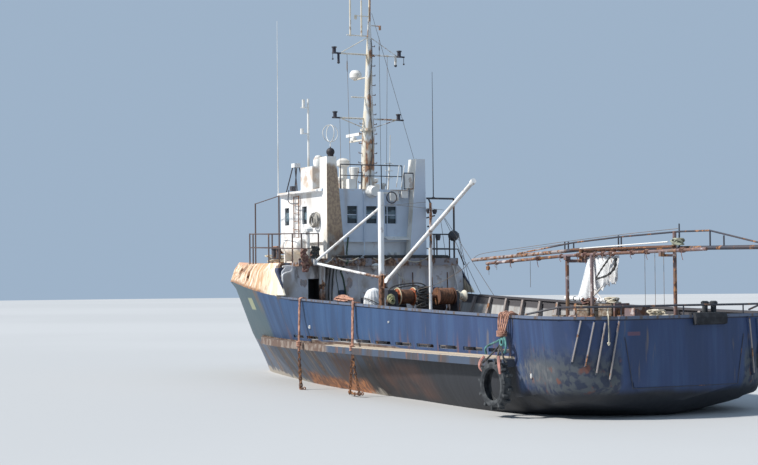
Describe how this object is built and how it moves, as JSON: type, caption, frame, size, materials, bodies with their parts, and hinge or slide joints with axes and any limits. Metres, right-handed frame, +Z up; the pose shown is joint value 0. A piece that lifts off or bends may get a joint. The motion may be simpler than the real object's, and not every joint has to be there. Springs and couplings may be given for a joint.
{
  "type": "steel fishing support ship",
  "caption": "Steel stern-working fishing support ship with whaleback forecastle, wheelhouse, mast, derrick, deck winch, spars over the aft deck and a tyre fender.",
  "frame": {"origin": "on the waterline at the centreline, 15 m forward of the transom", "axes": "+X towards the bow, +Y to port, +Z up"},
  "size_m": [33.6406, 8.4735, 16.15],
  "materials": {
    "hull_paint": "weathered satin",
    "cream_paint": "weathered matt, rust streaks",
    "grey_paint": "dirty matt",
    "white_paint": "weathered satin",
    "rusty_steel": "rusted matt",
    "dark_paint": "dirty matt",
    "black_paint": "matt",
    "orange_paint": "weathered matt",
    "window_glass": "gloss",
    "antenna_rod": "matt",
    "canvas_cloth": "weathered matt",
    "rope": "weathered matt",
    "tyre_rubber": "matt",
    "bottom_paint": "matt",
    "bronze": "satin"
  },
  "bodies": {
    "ship": {"hull": "hull_paint", "bulwark_port": "hull_paint", "bulwark_starboard": "hull_paint", "bulwark_stern": "hull_paint", "forecastle": "hull_paint", "whaleback": "cream_paint", "forecastle_bulkhead": "grey_paint", "deck_pillar": "white_paint", "deckhouse_trunk": "rusty_steel", "wheelhouse": "white_paint", "wheelhouse_glazing": "window_glass", "wheelhouse_roof": "white_paint", "exhaust_tower_port": "cream_paint", "exhaust_tower_starboard": "white_paint", "direction_finder": "white_paint", "main_mast": "rusty_steel", "radar_dome": "white_paint", "boat_deck_rail": "rusty_steel", "mushroom_vent": "white_paint", "signal_pole": "white_paint", "whip_antenna_port": "antenna_rod", "whip_antenna_starboard": "antenna_rod", "roof_ventilator": "white_paint", "roof_locker": "white_paint", "roof_radome": "white_paint", "roof_rail": "white_paint", "roof_stand": "dark_paint", "raft_canister": "white_paint", "raft_cradle": "dark_paint", "stern_pad": "tyre_rubber", "floodlights": "dark_paint", "covered_gear": "canvas_cloth", "starboard_frame": "rusty_steel", "windlass": "rusty_steel", "king_post": "white_paint", "winch_frame": "dark_paint", "spar_truss": "dark_paint", "spar_pipe": "rusty_steel", "portal_posts": "rusty_steel", "stern_post": "rusty_steel", "hanging_canvas": "canvas_cloth", "stern_rail": "dark_paint", "roller_stand": "black_paint", "quarter_rope": "rope", "canvas_roll": "canvas_cloth", "tyre_fender": "tyre_rubber", "hatch_coaming": "rusty_steel"},
    "wheelhouse_door": {"wheelhouse_door": "white_paint"},
    "radar_scanner": {"radar_scanner": "white_paint"},
    "gooseneck": {"gooseneck": "rusty_steel"},
    "boom": {"derrick_boom": "white_paint"},
    "winch_drum_port": {"winch_drum_port": "orange_paint"},
    "winch_drum_starboard": {"winch_drum_starboard": "rusty_steel"},
    "windlass_drum": {"windlass_drum": "rusty_steel"},
    "stern_roller_port": {"stern_roller_port": "black_paint"},
    "stern_roller_starboard": {"stern_roller_starboard": "black_paint"},
    "hatch_lid": {"hatch_lid": "rusty_steel"},
    "rudder": {"rudder": "bottom_paint"},
    "propeller": {"propeller": "bronze"}
  },
  "joints": [
    {"name": "wheelhouse_door_hinge", "type": "hinge", "parent": "ship", "child": "wheelhouse_door", "pos_m": [3.59, -1.95, 5.9], "axis": [0, 0, 1], "range_deg": [0, 100]},
    {"name": "radar_spin", "type": "hinge", "parent": "ship", "child": "radar_scanner", "pos_m": [3.92, 0, 8.9], "axis": [0, 0, 1], "continuous": true},
    {"name": "derrick_slew", "type": "hinge", "parent": "ship", "child": "gooseneck", "pos_m": [-3.21, 2.6, 3.61], "axis": [0, 0, 1], "range_deg": [-70, 70]},
    {"name": "derrick_luff", "type": "hinge", "parent": "gooseneck", "child": "boom", "pos_m": [-3.35, 2.6, 3.61], "axis": [0, 1, 0], "range_deg": [-8, 35]},
    {"name": "winch_spin_port", "type": "hinge", "parent": "ship", "child": "winch_drum_port", "pos_m": [-1.05, 0.8, 3.07], "axis": [0, 1, 0], "continuous": true},
    {"name": "winch_spin_starboard", "type": "hinge", "parent": "ship", "child": "winch_drum_starboard", "pos_m": [-1.05, -0.8, 3.07], "axis": [0, 1, 0], "continuous": true},
    {"name": "windlass_spin", "type": "hinge", "parent": "ship", "child": "windlass_drum", "pos_m": [9.65, 0, 4.8], "axis": [0, 1, 0], "continuous": true},
    {"name": "stern_roller_spin_port", "type": "hinge", "parent": "ship", "child": "stern_roller_port", "pos_m": [-14.6, -0.99, 2.8], "axis": [0, 0, 1], "continuous": true},
    {"name": "stern_roller_spin_starboard", "type": "hinge", "parent": "ship", "child": "stern_roller_starboard", "pos_m": [-14.6, -1.28, 2.8], "axis": [0, 0, 1], "continuous": true},
    {"name": "hatch_hinge", "type": "hinge", "parent": "ship", "child": "hatch_lid", "pos_m": [-5.32, 0, 2.08], "axis": [0, 1, 0], "range_deg": [0, 100]},
    {"name": "rudder_turn", "type": "hinge", "parent": "ship", "child": "rudder", "pos_m": [-13.9, 0, -1.2], "axis": [0, 0, 1], "range_deg": [-35, 35]},
    {"name": "propeller_spin", "type": "hinge", "parent": "ship", "child": "propeller", "pos_m": [-12.67, 0, -1.23], "axis": [1, 0, 0], "continuous": true}
  ]
}
